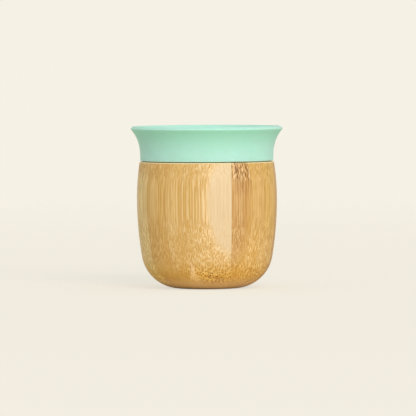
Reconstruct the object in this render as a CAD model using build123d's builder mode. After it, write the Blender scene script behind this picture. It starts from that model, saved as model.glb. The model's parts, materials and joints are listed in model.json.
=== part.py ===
from build123d import *
from math import cos, radians, sin, sqrt, tan
import os

# Toddler's open cup: a bellied shell turned from a block of glued bamboo strips, and a silicone cup
# that drops into it and hangs from its shoulder on the bamboo rim.
# Millimetres, +Z up, origin on the table at the middle of the base, front towards -Y.

# Bamboo shell
shell_height = 63.3        # table to the rim
rim_diameter = 67.2        # outside, at the rim
belly_swell = 1.4          # the belly stands this much outside the rim, on the radius
belly_drop = 18.5          # rim down to the widest place
foot_inset = 5.8           # belly to where the side would meet the table, on the radius
foot_corner_radius = 19.0  # large round between the side and the flat base
rim_wall = 4.4             # bamboo left at the rim
floor_thickness = 7.0
cavity_draft = 2.6         # radius lost from the mouth of the cavity to its floor
cavity_corner_radius = 14.0
rim_edge_radius = 0.6      # eased edges of the rim

# Block of strips that the shell is turned from
layer_count = 13           # glued face to face, from front to back
strip_width = 28.0
odd_seam = 7.0             # an edge joint of the odd layers, right of the block's middle
seam_stagger = 19.7        # the even layers' joints lie this far to the left of it
least_strip = 2.0          # nothing narrower is glued on at a layer's end
block_turn = 9.0           # degrees that the front layer faces to the right of the front
turning_allowance = 0.25   # block left over where the belly comes nearest to its faces

# Silicone cup
collar_height = 17.7       # rim of the bamboo to the top of the lip
collar_setback = 0.3       # collar inside the bamboo's outline, on the radius
collar_straight = 2.7      # upright part of the collar under the flare
lip_reach = 4.7            # collar to the outermost of the lip, on the radius
lip_turn = 50.0            # degrees that the flare leans out where the lip begins
collar_wall = 2.8          # also the lip's full round
ledge_height = 8.0         # inside, from the shoulder up to the flare
liner_wall = 2.2
liner_floor = 3.0
liner_clearance = 0.25     # silicone to bamboo, in the cavity
shoulder_edge_radius = 0.4
shadow_gap = 0.3           # slit that shows as a dark line over the bamboo rim
shadow_gap_depth = 1.8     # the shoulder sits on the rim inside of it

# Outline of the shell
rim_radius = rim_diameter / 2
belly_radius = rim_radius + belly_swell
belly_height = shell_height - belly_drop
foot_radius = belly_radius - foot_inset
mouth_radius = rim_radius - rim_wall
cavity_floor_radius = mouth_radius - cavity_draft

with BuildPart() as turned_shell:
    with BuildSketch(Plane.XZ) as shell_section:
        with BuildLine():
            base = Line((0, 0), (foot_radius, 0))
            lower_side = TangentArc((belly_radius, belly_height), base @ 1, tangent=(0, -1))
            upper_side = TangentArc(lower_side @ 0, (rim_radius, shell_height), tangent=(0, 1))
            Line(upper_side @ 1, (0, shell_height))
            Line((0, shell_height), base @ 0)
        make_face()
        fillet(shell_section.vertices().sort_by_distance((foot_radius, 0))[0], foot_corner_radius)
        with BuildLine():
            Polyline(
                (0, floor_thickness),
                (cavity_floor_radius, floor_thickness),
                (mouth_radius, shell_height),
                (0, shell_height),
                close=True,
            )
        make_face(mode=Mode.SUBTRACT)
        cavity_corner = shell_section.vertices().sort_by_distance((cavity_floor_radius, floor_thickness))[0]
        fillet(cavity_corner, cavity_corner_radius)
        rim_corners = shell_section.vertices().group_by(Axis.Y)[-1]
        fillet(rim_corners, rim_edge_radius)
    revolve(axis=Axis.Z)

# Outline of the silicone cup, from the bamboo that it sits in
liner_base = floor_thickness + liner_clearance
liner_foot_radius = cavity_floor_radius - liner_clearance
shoulder_radius = mouth_radius - liner_clearance
collar_radius = rim_radius - collar_setback
inside_floor = liner_base + liner_floor
inside_foot_radius = liner_foot_radius - liner_wall
inside_top_radius = shoulder_radius - liner_wall
liner_corner_radius = cavity_corner_radius - liner_clearance
inside_corner_radius = liner_corner_radius - liner_wall

# The flare turns out ever more sharply, and the lip is a half circle across its end
turn = radians(lip_turn)
lip_radius = collar_wall / 2
cup_top = shell_height + collar_height
flare_start = shell_height + collar_straight
flare_end = (
    collar_radius + lip_reach - lip_radius * (1 - cos(turn)),
    cup_top - lip_radius * (1 + sin(turn)),
)
lip_centre = (flare_end[0] - lip_radius * cos(turn), flare_end[1] + lip_radius * sin(turn))
lip_inside = (flare_end[0] - collar_wall * cos(turn), flare_end[1] + collar_wall * sin(turn))
inside_collar_radius = collar_radius - collar_wall
inside_flare_start = shell_height + ledge_height
flare_bend = flare_end[1] - (flare_end[0] - collar_radius) / tan(turn)
inside_flare_bend = lip_inside[1] - (lip_inside[0] - inside_collar_radius) / tan(turn)

with BuildPart() as silicone_cup:
    with BuildSketch(Plane.XZ) as liner_section:
        with BuildLine():
            underside = Line((0, liner_base), (liner_foot_radius, liner_base))
            side = Line(underside @ 1, (shoulder_radius, shell_height))
            seat = Line(side @ 1, (collar_radius - shadow_gap_depth, shell_height))
            slit = Line(seat @ 1, seat @ 1 + (0, shadow_gap))
            shoulder = Line(slit @ 1, (collar_radius, shell_height + shadow_gap))
            collar = Line(shoulder @ 1, (collar_radius, flare_start))
            Bezier(collar @ 1, (collar_radius, flare_bend), flare_end)
            CenterArc(lip_centre, lip_radius, -lip_turn, 180)
            inside_flare = Bezier(
                lip_inside,
                (inside_collar_radius, inside_flare_bend),
                (inside_collar_radius, inside_flare_start),
            )
            inside = Line((inside_top_radius, shell_height), (inside_foot_radius, inside_floor))
            Spline(inside_flare @ 1, inside @ 0, tangents=(inside_flare % 1, inside % 0))
            Line(inside @ 1, (0, inside_floor))
            Line((0, inside_floor), underside @ 0)
        make_face()
        fillet(liner_section.vertices().sort_by_distance(underside @ 1)[0], liner_corner_radius)
        fillet(liner_section.vertices().sort_by_distance(inside @ 1)[0], inside_corner_radius)
        fillet(liner_section.vertices().sort_by_distance(shoulder @ 1)[0], shoulder_edge_radius)
    revolve(axis=Axis.Z)
silicone_cup.part.label = "silicone_cup"

os.makedirs("parts", exist_ok=True)
export_step(silicone_cup.part, "parts/silicone_cup.step")

# The strips: each is what the lathe leaves of one bar of the block
block_edge = belly_radius + turning_allowance
block_height = shell_height + 2 * turning_allowance
block_base = Plane.XY.offset(-turning_allowance).rotated((0, 0, block_turn))
layer_thickness = 2 * block_edge / layer_count
places = {-2: "far_left", -1: "left", 0: "middle", 1: "right", 2: "far_right"}

for layer in range(1, layer_count + 1):
    front = (layer - 1) * layer_thickness - block_edge
    back = front + layer_thickness
    nearest = max(front, -back, 0)
    reach = sqrt(belly_radius**2 - nearest**2) - least_strip
    # the middle strip ends at this joint on its right
    middle_end = odd_seam if layer % 2 else odd_seam - seam_stagger + strip_width

    for place in places:
        right = middle_end + place * strip_width
        left = right - strip_width
        if left > reach or right < -reach:
            continue
        left = left if left > -reach else -block_edge
        right = right if right < reach else block_edge
        name = f"layer_{layer:02d}_{places[place]}_strip"
        with BuildPart() as strip:
            add(turned_shell.part)
            with BuildSketch(block_base):
                with Locations(((left + right) / 2, (front + back) / 2)):
                    Rectangle(right - left, layer_thickness)
            extrude(amount=block_height, mode=Mode.INTERSECT)
        strip.part.label = name
        export_step(strip.part, f"parts/{name}.step")
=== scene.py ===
import json
import math

import bmesh
import bpy
from mathutils import Matrix, Vector, geometry


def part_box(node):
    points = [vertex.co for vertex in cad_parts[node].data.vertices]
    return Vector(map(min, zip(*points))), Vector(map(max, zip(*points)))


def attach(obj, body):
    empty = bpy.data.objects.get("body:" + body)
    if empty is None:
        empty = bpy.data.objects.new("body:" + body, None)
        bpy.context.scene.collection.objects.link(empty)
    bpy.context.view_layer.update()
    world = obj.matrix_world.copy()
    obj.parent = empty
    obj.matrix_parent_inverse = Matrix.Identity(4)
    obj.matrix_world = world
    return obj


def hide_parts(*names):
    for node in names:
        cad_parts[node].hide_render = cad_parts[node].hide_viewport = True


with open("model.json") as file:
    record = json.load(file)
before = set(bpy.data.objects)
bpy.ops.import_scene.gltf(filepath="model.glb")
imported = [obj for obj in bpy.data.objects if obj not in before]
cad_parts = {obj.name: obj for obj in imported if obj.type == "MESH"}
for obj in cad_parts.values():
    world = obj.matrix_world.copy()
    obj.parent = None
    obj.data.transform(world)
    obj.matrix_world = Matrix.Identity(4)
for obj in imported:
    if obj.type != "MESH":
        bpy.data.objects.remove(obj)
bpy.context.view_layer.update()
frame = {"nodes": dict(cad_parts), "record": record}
mmPerMetre = 1000
print("frame:", len(frame["nodes"]), "pieces")


class Wire:  # a socket; sums on it add Math nodes
    def __init__(self, finish, socket):
        self.finish, self.socket = finish, socket

    def math(self, operation, *values):
        return self.finish.node("ShaderNodeMath", {"operation": operation}, dict(enumerate(values)))

    def output(self, name):  # another output of the same node
        return Wire(self.finish, self.socket.node.outputs[name])

    def __add__(self, other):
        return self.math("ADD", self, other)

    def __sub__(self, other):
        return self.math("SUBTRACT", self, other)

    def __rsub__(self, other):
        return self.math("SUBTRACT", other, self)

    def __mul__(self, other):
        return self.math("MULTIPLY", self, other)

    __radd__, __rmul__ = __add__, __mul__

    def towards(self, other, share):
        return self + share * (other - self)

    def least(self, other):
        return self.math("MINIMUM", self, other)

    def most(self, other):
        return self.math("MAXIMUM", self, other)


class Finish:  # a node tree, of a material or of the world
    def __init__(self, tree):
        self.tree = tree
        self.tree.nodes.clear()

    def node(self, kind, settings=None, sockets=None, output=None):
        made = self.tree.nodes.new(kind)
        for name, value in (settings or {}).items():
            setattr(made, name, value)
        for name, value in (sockets or {}).items():
            if isinstance(name, int):
                socket = made.inputs[name]
            else:
                socket = next(s for s in made.inputs if s.enabled and s.name == name)
            if isinstance(value, Wire):
                self.tree.links.new(value.socket, socket)
            else:
                socket.default_value = value
        shown = [s for s in made.outputs if s.enabled and output in (None, s.name)]
        return Wire(self, shown[0]) if shown else None

    def step(self, value, low, high):  # 0 at low, 1 at high, smooth between
        return self.node(
            "ShaderNodeMapRange", {"interpolation_type": "SMOOTHSTEP"},
            {"Value": value, "From Min": low, "From Max": high},
        )

    def mix(self, first, second, share, blend="MIX"):
        return self.node(
            "ShaderNodeMix", {"data_type": "RGBA", "blend_type": blend},
            {"A": first, "B": second, "Factor": share},
        )

    def vector(self, operation, first, second):
        return self.node("ShaderNodeVectorMath", {"operation": operation}, {0: first, 1: second})

    def noise(self, place, scale, shift, detail=2.0, roughness=0.5, output="Fac"):
        at = self.node("ShaderNodeMapping", None, {"Vector": place, "Scale": scale, "Location": shift})
        return self.node(
            "ShaderNodeTexNoise", None,
            {"Vector": at, "Scale": 1.0, "Detail": detail, "Roughness": roughness}, output,
        )

    def cells(self, place, scale, shift, settings=None, scatter=1.0):
        at = self.node("ShaderNodeMapping", None, {"Vector": place, "Scale": scale, "Location": shift})
        distance = self.node(
            "ShaderNodeTexVoronoi", settings,
            {"Vector": at, "Scale": 1.0, "Randomness": scatter}, "Distance",
        )
        chance = self.node("ShaderNodeSeparateColor", None, {0: distance.output("Color")})
        return distance, chance  # to the middle of a cell, and that cell's own value from 0 to 1

    def millimetres(self, turn=0.0):  # place in the cup, along axes turned by so many degrees
        return self.node(
            "ShaderNodeMapping", None,
            {
                "Vector": self.node("ShaderNodeTexCoord", output="Object"),
                "Rotation": (0, 0, -math.radians(turn)),
                "Scale": (mmPerMetre,) * 3,
            },
        )

    def upward(self):  # 1 on a face that looks up, -1 on one that looks down
        normal = self.node("ShaderNodeTexCoord", output="Normal")
        return self.node("ShaderNodeSeparateXYZ", None, {0: normal}).output("Z")

    def surface(self, sockets):
        shader = self.node("ShaderNodeBsdfPrincipled", None, sockets)
        self.node("ShaderNodeOutputMaterial", None, {"Surface": shader})


def srgb(red, green, blue):
    def linear(value):  # the sRGB curve
        part = value / 255
        return part / 12.92 if part <= 0.04045 else ((part + 0.055) / 1.055) ** 2.4
    return (linear(red), linear(green), linear(blue), 1.0)


def newMaterial(name):
    material = bpy.data.materials.new(name)
    material.use_nodes = True
    return material, Finish(material.node_tree)


# Bamboo shell: strips of culm glued in layers, then turned, so the grain runs through the solid
block = {
    "turn": 9.0,  # degrees that the front layer faces to the right
    "layers": 13,
    "depth": 70.5,  # mm, from the front face to the back
    "stripWidth": 28.0,
    "oddSeam": 7.0,  # right end of a middle strip, in odd layers and in even ones
    "evenSeam": 15.3,
    "places": {"left": -1, "middle": 0, "right": 1},
}
grain = {  # lengths in mm, heights from the table
    "culm": 90.0,  # size of the culm that the strips are taken from
    "apart": (17.3, 29.41, 39.79),  # from one strip's place in it to the next
    "bundles": (0.95, 0.9),  # spacing of the fibre bundles across and through
    "endBundles": (0.65, 0.26),  # near the ends of a strip, along the surface and into it
    "footBundles": (1.0, 1.0),  # and where the foot cuts across them
    "scatter": 0.75,  # 0 sets them in rows
    "bundle": (0.28, 0.46),  # core and edge, of the spacing
    "gap": (0.46, 0.62),  # paler pith between bundles
    "faintest": 0.5,  # strength of the faintest bundle
    "bundleShare": 0.9,
    "gleamShare": 0.5,
    "bellyShare": 1.0,
    "endShare": 1.3,  # more, where the surface cuts across them
    "footShare": 1.7,
    "stray": (1.2, 0.5, 0),  # how far a bundle wanders along its length
    "strayScale": (1 / 11, 1 / 11, 1 / 30),  # 1 / mm
    "wave": (0.35, 0.45, 0),  # and how far it winds near the ends
    "waveScale": (0.8, 0.8, 0.75),
    "lowEnd": (38, 30),  # heights where an end starts and is full
    "highEnd": (54, 59),
    "foot": (17, 11),
    "fibreWidth": 0.4,
    "fibreLength": 14.0,
    "fibreNoise": (3.0, 0.6),  # detail and roughness
    "streak": (0.52, 0.66),  # which of the fibres are dark
    "streakShare": 0.65,
    "cloudWidth": 7.0,  # large soft patches
    "cloudLength": 45.0,
    "cloud": (0.42, 0.75),
    "cloudShare": 0.6,
    "glueLine": 0.1,
    "glue": srgb(158, 108, 58),
    "glueShare": 0.5,
    "roughness": 0.42,
    "fibreRoughness": 0.16,  # added on the fibres
    "relief": 0.00003,  # metres
    "reliefStrength": 0.5,
    "bundleRelief": 0.6,  # height of a bundle, against the fibres
}
tones = {  # pith, paler pith in the gaps, fibre bundle, darkest fibres
    "bamboo_pale": (srgb(234, 200, 146), srgb(243, 215, 166), srgb(213, 168, 92), srgb(196, 146, 68)),
    "bamboo_honey": (srgb(225, 187, 122), srgb(235, 209, 160), srgb(203, 155, 71), srgb(186, 135, 48)),
    "bamboo_brown": (srgb(213, 172, 111), srgb(222, 188, 132), srgb(191, 139, 72), srgb(154, 98, 37)),
    "amber": (srgb(222, 182, 114), srgb(234, 199, 134), srgb(205, 157, 76), srgb(186, 134, 50)),
    "ochre": (srgb(225, 184, 106), srgb(238, 202, 126), srgb(200, 149, 59), srgb(176, 122, 34)),
    "sand": (srgb(236, 199, 132), srgb(248, 216, 154), srgb(208, 157, 72), srgb(184, 128, 42)),
    "wheat": (srgb(230, 193, 129), srgb(239, 212, 164), srgb(206, 159, 77), srgb(188, 138, 54)),
    "straw": (srgb(247, 217, 151), srgb(254, 229, 167), srgb(210, 172, 98), srgb(182, 137, 70)),
    "cream": (srgb(231, 195, 132), srgb(237, 205, 148), srgb(210, 163, 84), srgb(193, 142, 60)),
    "tan": (srgb(228, 188, 117), srgb(236, 202, 138), srgb(203, 152, 69), srgb(182, 126, 44)),
}
endGrainAndPaintedLight = {  # darker where the surface looks down: end grain cut across the fibres, which takes more oil, and painted shade of the underside
    "slope": (0.1, 0.75),  # how far the surface looks down
    "colour": srgb(253, 241, 176),
    "wornAndPaintedLightSlope": (0.6, 0.95),  # and paler where it looks nearly straight down: rubbed where it stands, and painted bounce light from the floor
    "wornAndPaintedLight": srgb(232, 194, 140),
    "wornAndPaintedLightShare": 0.6,
}
rimHighlight = {  # painted highlight on the sanded round of the rim
    "slope": (0.1, 0.5),  # how far the surface looks up
    "height": (62.0, 62.8),
    "colour": srgb(250, 226, 180),
    "share": 0.85,
    "flat": (0.9, 0.99),  # slope of the flat top, which gets less of the painted highlight
    "flatShare": 0.35,
}
frontSkin = {  # inner face of the culm on the front strip: pale and nearly plain
    "lean": 0.2,  # mm deeper for each mm across
    "depth": (32.9, 34.2),  # where it starts and is full, mm in front of the block's middle
    "nearDepth": (30.2, 33.5),  # the pith pales towards it
    "near": srgb(242, 209, 155),
    "pith": srgb(229, 203, 162),
    "strength": 0.22,  # of the grain that shows on it
}
footSkin = {  # and on the strip behind, low at its left end
    "lean": 0.72,
    "depth": (22.0, 20.0),
    "nearDepth": (23.5, 21.0),
    "near": srgb(240, 202, 146),
    "pith": srgb(249, 218, 184),
    "strength": 0.3,
}
culmNode = {  # at a joint of the culm the fibres twist and darken
    "darkKnots": (0.6, 0.7),  # which of the knots are dark, and which pale
    "paleKnots": (0.46, 0.36),
    "lines": (0.75, 3.0),  # spacing of the dark fibres that run on past it, mm
    "line": (0.18, 0.42),  # core and edge, of the spacing
}
topNode = {
    "height": (53.0, 57.0),  # where it starts and is full
    "trail": 9.0,  # mm that the dark fibres run on
    "cell": (0.45, 0.45, 2.6),  # room of one knot, mm
    "knot": (0.4, 0.8),  # its core and edge, of that room
    "ground": (srgb(196, 142, 80), 0.2),  # colour and share
    "lines": (srgb(128, 74, 12), 0.95),
    "dark": (srgb(128, 74, 6), 0.75),
    "pale": (srgb(250, 216, 162), 0.7),
}
footNode = {
    "height": (12, 8),
    "span": ((-10.0, -7.0), (10.0, 2.0)),  # where it starts and is full, from the left and from the right
    "cell": (0.75, 0.75, 0.75),
    "knot": (0.34, 0.58),
    "dark": (srgb(128, 72, 2), 0.95),
    "pale": (srgb(253, 220, 154), 0.95),
}
leftSide = {"tone": "tan", "endShare": 1.9, "footShare": 0.5, "plainFoot": 0.8}  # few streaks at the foot
farLeft = {"tone": "straw", "secondTone": ("tan", "Z", (54, 61))}
# paler sand towards the foot: painted light from the lamp on the right, over the strips' own tone
rightSide = {"secondTone": ("sand", "Z", (34, 18)), "endShare": 2.0, "footShare": 2.4}
frontStrips = {  # a second tone takes over along an axis, from a start to where it is full
    "layer_01_middle_strip": {
        "tone": "bamboo_honey", "secondTone": ("wheat", "Z", (38, 26)), "skin": frontSkin,
        "bundles": (1.0, 0.95), "endShare": 1.25,
    },
    "layer_01_right_strip": {
        "tone": "bamboo_brown", "secondTone": ("amber", "Y", (-32.6, -29.4)), "node": topNode,
        "bundles": (0.75, 0.9), "wave": (0.5, 0.45, 0), "endShare": 1.4, "rimHighlightShare": 0.3,
    },
    "layer_02_left_strip": {"tone": "cream", "endShare": 1.9},
    "layer_02_middle_strip": {"tone": "sand", "skin": footSkin, "node": footNode},
    "layer_02_right_strip": {**rightSide, "tone": "amber", "bellyShare": 0.6},
    "layer_03_left_strip": leftSide,
    "layer_03_middle_strip": {
        "tone": "bamboo_honey", "secondTone": ("bamboo_pale", "X", (-14, -10)),
        "footShare": 0.5, "plainFoot": 0.8,
    },
    "layer_03_right_strip": {**rightSide, "tone": "ochre"},
    "layer_04_left_strip": leftSide,
    "layer_04_right_strip": {**rightSide, "tone": "ochre"},
    "layer_05_left_strip": farLeft,
    "layer_06_left_strip": farLeft,
    "layer_07_left_strip": farLeft,
}


def drift(finish, place, scale, shift, reach):  # a small offset that changes from place to place
    offset = finish.noise(place, scale, shift, detail=1.0, output="Color")
    offset = finish.vector("SUBTRACT", offset, (0.5, 0.5, 0.5))  # noise lies about one half
    return finish.vector("MULTIPLY", offset, reach)


def runOfFibres(finish, place, shift, look, ends):  # place in a culm whose fibres stray and wind
    stray = drift(finish, place, grain["strayScale"], shift, grain["stray"])
    wave = drift(finish, place, grain["waveScale"], shift, look.get("wave", grain["wave"]))
    wave = finish.node("ShaderNodeVectorMath", {"operation": "SCALE"}, {0: wave, "Scale": ends})
    return finish.vector("ADD", finish.vector("ADD", place, stray), wave)


def fibreBundles(finish, culm, shift, spacing, size):  # the bundles, and the gaps between them
    across, deep = spacing
    distance, chance = finish.cells(
        culm, (1 / across, 1 / deep, 0), shift, {"voronoi_dimensions": "2D"}, grain["scatter"],
    )
    strength = grain["faintest"] + (1 - grain["faintest"]) * chance
    return (1 - finish.step(distance, *size)) * strength, finish.step(distance, *grain["gap"])


def bundlesAllOver(finish, culm, shift, look, facing, ends, foot):  # long on the belly, fine at the ends
    along, into = grain["endBundles"]
    spacings = {
        "belly": look.get("bundles", grain["bundles"]),
        "end": (into + facing * (along - into), along + facing * (into - along)),
        "foot": grain["footBundles"],
    }
    masks = {}
    for cut, spacing in spacings.items():
        share = look.get(cut + "Share", grain[cut + "Share"])
        found = fibreBundles(finish, culm, shift, spacing, grain["bundle"])
        masks[cut] = [share * mask for mask in found]
    bundles, gaps = masks["belly"]
    for cut, reach in (("end", ends), ("foot", foot)):
        cutBundles, cutGaps = masks[cut]
        bundles = bundles.towards(cutBundles, reach)
        gaps = gaps.towards(cutGaps, reach)
    return grain["bundleShare"] * bundles, grain["gleamShare"] * gaps


def toneOf(finish, look, axes):
    tone = tones[look["tone"]]
    if "secondTone" in look:
        other, axis, reach = look["secondTone"]
        share = finish.step(axes.output(axis), *reach)
        tone = [finish.mix(first, second, share) for first, second in zip(tone, tones[other])]
    return tone


def knotted(finish, colour, node, culm, shift, across, height):  # a node of the culm, over the colour
    start, full = node["height"]
    near = finish.step(height, start, full)
    for reach in node.get("span", ()):
        near = near * finish.step(across, *reach)
    distance, chance = finish.cells(culm, tuple(1 / size for size in node["cell"]), shift)
    near = near * (1 - finish.step(distance, *node["knot"]))
    masks = {}
    if "trail" in node:
        past = finish.step(height, start - node["trail"], start)
        lines = fibreBundles(finish, culm, shift, culmNode["lines"], culmNode["line"])[0]
        masks = {"ground": past, "lines": past * lines}
    masks["dark"] = near * finish.step(chance, *culmNode["darkKnots"])
    masks["pale"] = near * finish.step(chance, *culmNode["paleKnots"])
    for part, mask in masks.items():
        tint, share = node[part]
        colour = finish.mix(colour, tint, share * mask)
    return colour


def endsAndPaintedLight(finish, colour, look, height):  # the foot's end grain with painted shade and painted bounce light on it, and a painted highlight on the eased rim, over the colour
    up = finish.upward()
    down = 0 - up
    # painted shade: darker and more saturated where the surface looks down, over the end grain's own tone
    colour = finish.mix(colour, endGrainAndPaintedLight["colour"], finish.step(down, *endGrainAndPaintedLight["slope"]), "MULTIPLY")
    # paler where it looks straight down: wear where it stands, and painted bounce light from the floor
    wornAndPaintedLight = endGrainAndPaintedLight["wornAndPaintedLightShare"] * finish.step(down, *endGrainAndPaintedLight["wornAndPaintedLightSlope"])
    colour = finish.mix(colour, endGrainAndPaintedLight["wornAndPaintedLight"], wornAndPaintedLight)
    # painted highlight on the eased rim's round, where it looks up near the top
    rim = finish.step(up, *rimHighlight["slope"]) * finish.step(height, *rimHighlight["height"])
    rim = rim * (1 - (1 - rimHighlight["flatShare"]) * finish.step(up, *rimHighlight["flat"]))
    return finish.mix(colour, rimHighlight["colour"], look.get("rimHighlightShare", rimHighlight["share"]) * rim)


def glued(finish, colour, bounds, across, deep):  # a thin line along the joints, over the colour
    left, right, front, back = bounds
    edge = (across - left).least(right - across).least(deep - front).least(back - deep)
    glue = 1 - finish.step(edge, 0.0, grain["glueLine"])
    return finish.mix(colour, grain["glue"], grain["glueShare"] * glue)


def bambooMaterial(name, number, look, bounds):
    material, finish = newMaterial(name + "_bamboo")
    shift = tuple(number * step % grain["culm"] for step in grain["apart"])
    facing = abs(bounds[2] + bounds[3]) / block["depth"]  # near 1 at the front and back, 0 in the middle
    place = finish.millimetres(block["turn"])  # across the strip, through it and along the culm
    axes = finish.node("ShaderNodeSeparateXYZ", None, {0: place})
    across, deep, height = axes.output("X"), axes.output("Y"), axes.output("Z")
    ends = finish.step(height, *grain["lowEnd"]) + finish.step(height, *grain["highEnd"])
    foot = finish.step(height, *grain["foot"])

    culm = runOfFibres(finish, place, shift, look, ends)
    bundles, gleams = bundlesAllOver(finish, culm, shift, look, facing, ends, foot)
    thin, wide = 1 / grain["fibreWidth"], 1 / grain["cloudWidth"]
    fibres = finish.noise(culm, (thin, thin, 1 / grain["fibreLength"]), shift, *grain["fibreNoise"])
    cloud = finish.noise(place, (wide, wide, 1 / grain["cloudLength"]), shift)
    streaks = grain["streakShare"] * finish.step(fibres, *grain["streak"])
    if "plainFoot" in look:
        streaks = streaks * (1 - look["plainFoot"] * foot)

    pith, gleam, bundle, dark = toneOf(finish, look, axes)
    if "skin" in look:
        skin = look["skin"]
        level = skin["lean"] * across - deep
        bare = finish.step(level, *skin["depth"])
        pith = finish.mix(pith, skin["near"], finish.step(level, *skin["nearDepth"]))
        pith = finish.mix(pith, skin["pith"], bare)
        plain = 1 - (1 - skin["strength"]) * bare
        bundles, gleams, streaks, cloud = (mask * plain for mask in (bundles, gleams, streaks, cloud))
    colour = finish.mix(pith, bundle, bundles)
    colour = finish.mix(colour, gleam, gleams)
    colour = finish.mix(colour, dark, streaks)
    colour = finish.mix(colour, bundle, grain["cloudShare"] * finish.step(cloud, *grain["cloud"]))
    if "node" in look:
        colour = knotted(finish, colour, look["node"], culm, shift, across, height)
    colour = endsAndPaintedLight(finish, colour, look, height)
    colour = glued(finish, colour, bounds, across, deep)

    bump = finish.node(
        "ShaderNodeBump", None,
        {
            "Strength": grain["reliefStrength"],
            "Distance": grain["relief"],
            "Height": fibres + grain["bundleRelief"] * bundles,
        },
    )
    finish.surface({
        "Base Color": colour,
        "Roughness": grain["roughness"] + grain["fibreRoughness"] * fibres,
        "Normal": bump,
    })
    return material


def spotOf(name):  # layer from the front, and place in it
    layer, place = name.split("_")[1:3]
    return int(layer), block["places"][place]


slotOf = {row["node"]: row["material_slot"] for row in frame["record"]["subparts"]}
strips = sorted(name for name in frame["nodes"] if name.startswith("layer_"))
spots = [spotOf(name) for name in strips]
layerThickness = block["depth"] / block["layers"]
for number, name in enumerate(strips):
    layer, spot = spots[number]
    right = (block["oddSeam"] if layer % 2 else block["evenSeam"]) + spot * block["stripWidth"]
    left = right - block["stripWidth"]
    if (layer, spot - 1) not in spots:  # the outermost strips have no joint on that side
        left -= block["stripWidth"]
    if (layer, spot + 1) not in spots:
        right += block["stripWidth"]
    front = (layer - 1) * layerThickness - block["depth"] / 2
    bounds = (left, right, front, front + layerThickness)
    look = frontStrips.get(name, {"tone": slotOf[name]})
    strip = frame["nodes"][name]
    strip.data.materials.clear()
    strip.data.materials.append(bambooMaterial(name, number, look, bounds))
print("bamboo: strips finished")


# Silicone cup: one turned section, with a thin shadow gap over the bamboo's rim
silicone = {
    "colour": srgb(182, 232, 218),
    "deep": srgb(179, 229, 214),  # in its faint mottling
    "mottle": (0.35, 0.75),
    "mottleScale": 0.25,  # 1 / mm
    "mottleShift": (3, 8, 5),
    "mottleDetail": 3.0,
    "under": srgb(167, 228, 204),  # painted shade: deeper green facing down under the lip, with the light it bounces onto itself
    "underSlope": (0.0, 0.6),
    "underHeight": (64.5, 66.5),
    "edge": srgb(204, 248, 232),  # painted highlight on the eased edge of the shoulder
    "edgeHighlightSlope": (0.06, 0.4),
    "edgeHighlightHeight": (62.6, 63.0),
    "skinScale": 9.0,  # 1 / mm
    "skinShift": (1, 2, 3),
    "relief": 0.00002,  # metres
    "reliefStrength": 0.4,
    "roughness": 0.46,
    "mottleRoughness": 0.12,  # added in the mottling
    "specular": 0.3,
    "glow": 0.4,  # light that goes in and comes out again
    "glowReach": (0.6, 1.0, 0.8),  # of red, green and blue
    "glowDepth": 0.003,  # metres
}
cupSection = {  # mm, radii from the axis and heights from the bamboo's rim
    "shoulder": 28.95,  # outside of the wall at the rim
    "taper": 2.6,  # lost from there to the foot
    "footRound": 13.75,
    "wall": 2.2,
    "floor": 3.0,
    "collar": 33.3,
    "collarWall": 2.8,
    "slit": (2.4, 0.42),  # depth and height of the shadow gap
    "shoulderRound": 0.4,
    "flareStart": 2.7,  # outside
    "ledge": 8.0,  # where the flare ends inside, above the bend into the wall
    "bend": 3.5,  # pull of that bend at both ends
    "lean": 42.0,  # degrees that the flare leans out at the lip
    "lipWall": 2.4,
    "lipEdge": 0.55,  # tighter round outside, softer crown
    "lipCrown": 0.9,
    "inside": 0.02,  # kept clear of the box of the solid
    "roundSteps": 8,
    "crownSteps": 12,
    "bendSteps": 14,
    "longSteps": 16,  # on the flares and the foot's rounds
    "segments": 160,
    "merge": 1e-6,  # metres
    "crease": 40,  # degrees from which an edge stays sharp
}


def siliconeMaterial():
    material, finish = newMaterial("mint_silicone")
    place = finish.millimetres()
    height = finish.node("ShaderNodeSeparateXYZ", None, {0: place}).output("Z")
    down = 0 - finish.upward()
    mottle = finish.noise(
        place, (silicone["mottleScale"],) * 3, silicone["mottleShift"], silicone["mottleDetail"],
    )
    skin = finish.noise(place, (silicone["skinScale"],) * 3, silicone["skinShift"])
    colour = finish.mix(silicone["colour"], silicone["deep"], finish.step(mottle, *silicone["mottle"]))
    flare = finish.step(height, *silicone["underHeight"])
    # painted shade: deeper green where the flare looks down under the lip
    colour = finish.mix(colour, silicone["under"], flare * finish.step(down, *silicone["underSlope"]))
    # painted highlight on the shoulder's eased edge, below the flare
    edge = finish.step(height, *silicone["edgeHighlightHeight"]) * (1 - flare)
    colour = finish.mix(colour, silicone["edge"], edge * finish.step(down, *silicone["edgeHighlightSlope"]))
    bump = finish.node(
        "ShaderNodeBump", None,
        {"Strength": silicone["reliefStrength"], "Distance": silicone["relief"], "Height": skin},
    )
    finish.surface({
        "Base Color": colour,
        "Roughness": silicone["roughness"] + silicone["mottleRoughness"] * mottle,
        "Specular IOR Level": silicone["specular"],
        "Subsurface Weight": silicone["glow"],
        "Subsurface Radius": silicone["glowReach"],
        "Subsurface Scale": silicone["glowDepth"],
        "Normal": bump,
    })
    return material


def rounded(corner, before, after, radius, steps):  # arc that touches both sides of a corner
    first, second = (before - corner).normalized(), (after - corner).normalized()
    half = first.angle(second) / 2
    middle = corner + (first + second).normalized() * radius / math.sin(half)
    start = (corner + first * radius / math.tan(half) - middle).normalized()
    end = (corner + second * radius / math.tan(half) - middle).normalized()
    return [middle + start.slerp(end, n / steps) * radius for n in range(steps + 1)]


def flared(start, bend, end, steps):  # a quadratic curve, bend is its one handle
    return geometry.interpolate_bezier(start, start.lerp(bend, 2 / 3), end.lerp(bend, 2 / 3), end, steps)


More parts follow.
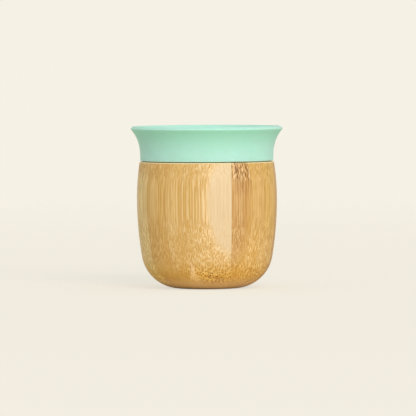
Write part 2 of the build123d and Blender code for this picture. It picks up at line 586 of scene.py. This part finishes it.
def siliconeSection():
    cup = cupSection
    low, high = (Vector(corner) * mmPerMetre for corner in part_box("silicone_cup"))
    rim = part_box("layer_01_middle_strip")[1][2] * mmPerMetre
    base, top, reach = low.z, high.z - cup["inside"], high.x - cup["inside"]
    lean = math.radians(cup["lean"])
    along = Vector((math.sin(lean), math.cos(lean)))  # the flare where it ends
    across = Vector((-along.y, along.x))  # from its outside to its inside
    edge, crown = cup["lipEdge"], cup["lipCrown"]
    lip = Vector((  # outer corner before it is rounded, set so that the rounds touch reach and top
        reach + edge * (along.x + along.y - 1),
        top - crown - across.y * (cup["lipWall"] - crown) + along.y * crown,
    ))
    lipInside = lip + across * cup["lipWall"]

    foot = Vector((cup["shoulder"] - cup["taper"], base))
    shoulder = Vector((cup["shoulder"], rim))
    slitEnd = Vector((cup["collar"] - cup["slit"][0], rim))
    slitTop = slitEnd + Vector((0, cup["slit"][1]))
    collar = Vector((cup["collar"], slitTop.y))
    flare = Vector((cup["collar"], rim + cup["flareStart"]))
    flareEnd = lip - along * edge
    flareBend = Vector((flare.x, flareEnd.y - (flareEnd.x - flare.x) / math.tan(lean)))

    insideEnd = lipInside - along * crown
    ledge = Vector((cup["collar"] - cup["collarWall"], rim + cup["ledge"]))
    insideBend = Vector((ledge.x, insideEnd.y - (insideEnd.x - ledge.x) / math.tan(lean)))
    insideTop = shoulder - Vector((cup["wall"], 0))
    insideFoot = foot + Vector((-cup["wall"], cup["floor"]))
    insideRound = cup["footRound"] - cup["wall"]
    fall = (insideFoot - insideTop).normalized() * cup["bend"]
    drop = ledge - Vector((0, cup["bend"]))
    middle, insideMiddle = Vector((0, base)), Vector((0, insideFoot.y))

    return [
        middle,
        *rounded(foot, middle, shoulder, cup["footRound"], cup["longSteps"]),
        shoulder, slitEnd, slitTop,
        *rounded(collar, slitTop, flare, cup["shoulderRound"], cup["roundSteps"]),
        *flared(flare, flareBend, flareEnd, cup["longSteps"]),
        *rounded(lip, flareEnd, lipInside, edge, cup["roundSteps"])[1:],
        *rounded(lipInside, lip, insideEnd, crown, cup["crownSteps"]),
        *flared(insideEnd, insideBend, ledge, cup["longSteps"])[1:],
        *geometry.interpolate_bezier(ledge, drop, insideTop - fall, insideTop, cup["bendSteps"])[1:],
        *rounded(insideFoot, insideTop, insideMiddle, insideRound, cup["longSteps"]),
        insideMiddle,
    ]


def turnSection(name, section):
    shape = bmesh.new()
    line = [shape.verts.new((point.x / mmPerMetre, 0, point.y / mmPerMetre)) for point in section]
    edges = [shape.edges.new(pair) for pair in zip(line, line[1:])]
    bmesh.ops.spin(
        shape, geom=line + edges, axis=(0, 0, 1), cent=(0, 0, 0), angle=2 * math.pi,
        steps=cupSection["segments"], use_merge=True,
    )
    bmesh.ops.remove_doubles(shape, verts=shape.verts, dist=cupSection["merge"])
    bmesh.ops.recalc_face_normals(shape, faces=shape.faces)
    mesh = bpy.data.meshes.new(name)
    shape.to_mesh(mesh)
    shape.free()
    mesh.shade_smooth()
    mesh.set_sharp_from_angle(angle=math.radians(cupSection["crease"]))
    turned = bpy.data.objects.new(name, mesh)
    bpy.context.scene.collection.objects.link(turned)
    return turned


siliconeCup = turnSection("mint_silicone_cup", siliconeSection())
siliconeCup.data.materials.append(siliconeMaterial())
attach(siliconeCup, "silicone_cup")
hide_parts("silicone_cup")
print("silicone: turned and finished")


# Studio: pale floor that fades out into the same background, soft sky and one large lamp
studio = {
    "background": srgb(246, 241, 229),
    "skyLow": (0.53, 0.545, 0.54, 1.0),
    "skyHigh": (0.58, 0.595, 0.57, 1.0),
    "skyRise": (-0.6, 0.9),  # from the one to the other, -1 is straight down
    "floorRadius": 1.6,  # metres
    "floorSides": 96,
    "floorSolid": 0.25,  # metres from the middle to where it starts to fade
    "floorColour": srgb(246, 241, 229),
    "floorBounce": srgb(230, 224, 214),
    "floorGlow": 0.72,  # share of the floor's paleness that doesn't come from the light
    "keyAim": 20,  # degrees right of the front
    "keyRise": 25,  # degrees above the floor
    "keySpread": 36,  # degrees across, which softens the shadow
    "keyPower": 1.85,
    "keyColour": (1.0, 0.95, 0.89),
}


def makeWorld():
    world = bpy.data.worlds.new("studio_sky")
    bpy.context.scene.world = world
    world.use_nodes = True
    finish = Finish(world.node_tree)
    rays = finish.node("ShaderNodeLightPath", output="Is Camera Ray")
    seen = rays.most(rays.output("Is Glossy Ray")).most(rays.output("Is Transmission Ray"))
    direction = finish.node("ShaderNodeTexCoord", output="Generated")
    up = finish.node("ShaderNodeSeparateXYZ", None, {0: direction}).output("Z")
    sky = finish.mix(studio["skyLow"], studio["skyHigh"], finish.step(up, *studio["skyRise"]))
    colour = finish.mix(sky, studio["background"], seen)
    light = finish.node("ShaderNodeBackground", None, {"Color": colour, "Strength": 1.0})
    finish.node("ShaderNodeOutputWorld", None, {"Surface": light})


def makeFloor():
    bpy.ops.mesh.primitive_circle_add(
        vertices=studio["floorSides"], radius=studio["floorRadius"], fill_type="NGON",
    )
    floor = bpy.context.object
    floor.name = "studio_floor"
    material, finish = newMaterial("studio_floor")
    place = finish.node("ShaderNodeTexCoord", output="Object")
    away = finish.node("ShaderNodeVectorMath", {"operation": "LENGTH"}, {0: place}, "Value")
    camera = finish.node("ShaderNodeLightPath", output="Is Camera Ray")
    colour = finish.mix(studio["floorBounce"], studio["floorColour"], camera)
    solid = finish.node("ShaderNodeBsdfDiffuse", None, {"Color": colour})
    pale = finish.node("ShaderNodeEmission", None, {"Color": studio["floorColour"], "Strength": 1.0})
    solid = finish.node(
        "ShaderNodeMixShader", None, {0: studio["floorGlow"] * camera, 1: solid, 2: pale},
    )
    clear = finish.node("ShaderNodeBsdfTransparent")
    fade = finish.step(away, studio["floorSolid"], studio["floorRadius"])
    shader = finish.node("ShaderNodeMixShader", None, {0: fade, 1: solid, 2: clear})
    finish.node("ShaderNodeOutputMaterial", None, {"Surface": shader})
    floor.data.materials.append(material)


def makeKey():
    lamp = bpy.data.lights.new("key_lamp", "SUN")
    lamp.energy, lamp.color = studio["keyPower"], studio["keyColour"]
    lamp.angle = math.radians(studio["keySpread"])
    key = bpy.data.objects.new("key_lamp", lamp)
    bpy.context.scene.collection.objects.link(key)
    aim, rise = math.radians(studio["keyAim"]), math.radians(studio["keyRise"])
    key.matrix_world = Matrix.Rotation(aim, 4, "Z") @ Matrix.Rotation(math.pi / 2 - rise, 4, "X")


makeWorld()
makeFloor()
makeKey()
print("studio: sky, floor and lamp")


# Camera, as the photograph was taken: far away, a little above the rim
view = {
    "distance": 2.5,  # metres
    "height": 0.126,
    "aside": 0.0005,  # to the right
    "pitch": 1.971,  # degrees down
    "roll": -0.26,
    "lens": 432.7,  # mm
    "sensor": 36,
    "farthest": 20,  # metres that are drawn
}
cameraData = bpy.data.cameras.new("camera")
cameraData.lens, cameraData.sensor_width = view["lens"], view["sensor"]
cameraData.clip_end = view["farthest"]
camera = bpy.data.objects.new("camera", cameraData)
bpy.context.scene.collection.objects.link(camera)
camera.matrix_world = (
    Matrix.Translation((view["aside"], -view["distance"], view["height"]))
    @ Matrix.Rotation(math.radians(90 - view["pitch"]), 4, "X")
    @ Matrix.Rotation(math.radians(view["roll"]), 4, "Z")
)
bpy.context.scene.camera = camera
bpy.context.scene.view_settings.view_transform = "Standard"
print("camera: set")
